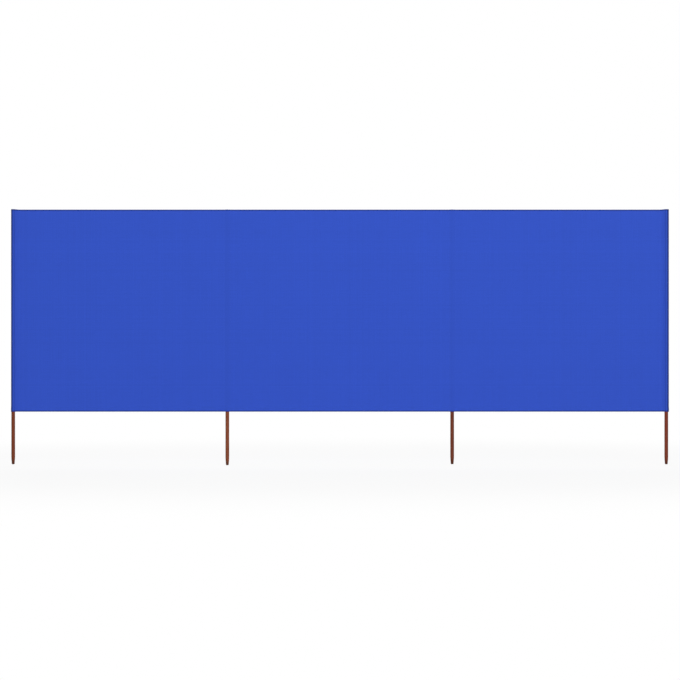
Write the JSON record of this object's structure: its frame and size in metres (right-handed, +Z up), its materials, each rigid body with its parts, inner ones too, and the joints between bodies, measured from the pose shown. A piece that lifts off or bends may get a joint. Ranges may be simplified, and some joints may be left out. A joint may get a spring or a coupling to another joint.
{
  "type": "beach windbreak",
  "caption": "Beach windbreak: a long run of plain cloth in bays, on wooden poles held in sewn pockets, with tapered ends that push into the sand.",
  "frame": {"origin": "centre of the flat tip of the left inner pole, which is pushed into the ground", "axes": "+X along the screen to the right as seen from the front, the front faces -Y, +Z up along the poles"},
  "size_m": [3.9016, 0.0348, 1.518],
  "materials": {
    "pole_wood": "red-brown stained softwood, matt, darker at the driven tip",
    "blue_cloth": "plain-woven blue cloth, matt"
  },
  "bodies": {
    "middle_bay": {"left_inner_pole": "pole_wood", "right_inner_pole": "pole_wood", "left_inner_pocket": "blue_cloth", "right_inner_pocket": "blue_cloth", "left_inner_pocket_top": "blue_cloth", "right_inner_pocket_top": "blue_cloth", "middle_panel": "blue_cloth", "middle_top_hem": "blue_cloth", "middle_bottom_hem": "blue_cloth"},
    "left_bay": {"left_end_pole": "pole_wood", "left_end_pocket": "blue_cloth", "left_end_pocket_top": "blue_cloth", "left_panel": "blue_cloth", "left_top_hem": "blue_cloth", "left_bottom_hem": "blue_cloth"},
    "right_bay": {"right_end_pole": "pole_wood", "right_end_pocket": "blue_cloth", "right_end_pocket_top": "blue_cloth", "right_panel": "blue_cloth", "right_top_hem": "blue_cloth", "right_bottom_hem": "blue_cloth"}
  },
  "joints": [
    {"name": "left_fold", "type": "hinge", "parent": "middle_bay", "child": "left_bay", "pos_m": [-0.021, -0.01155, 0], "axis": [0, 0, 1], "range_deg": [-90, 90]},
    {"name": "right_fold", "type": "hinge", "parent": "middle_bay", "child": "right_bay", "pos_m": [1.357, -0.01155, 0], "axis": [0, 0, -1], "range_deg": [-90, 90]}
  ]
}
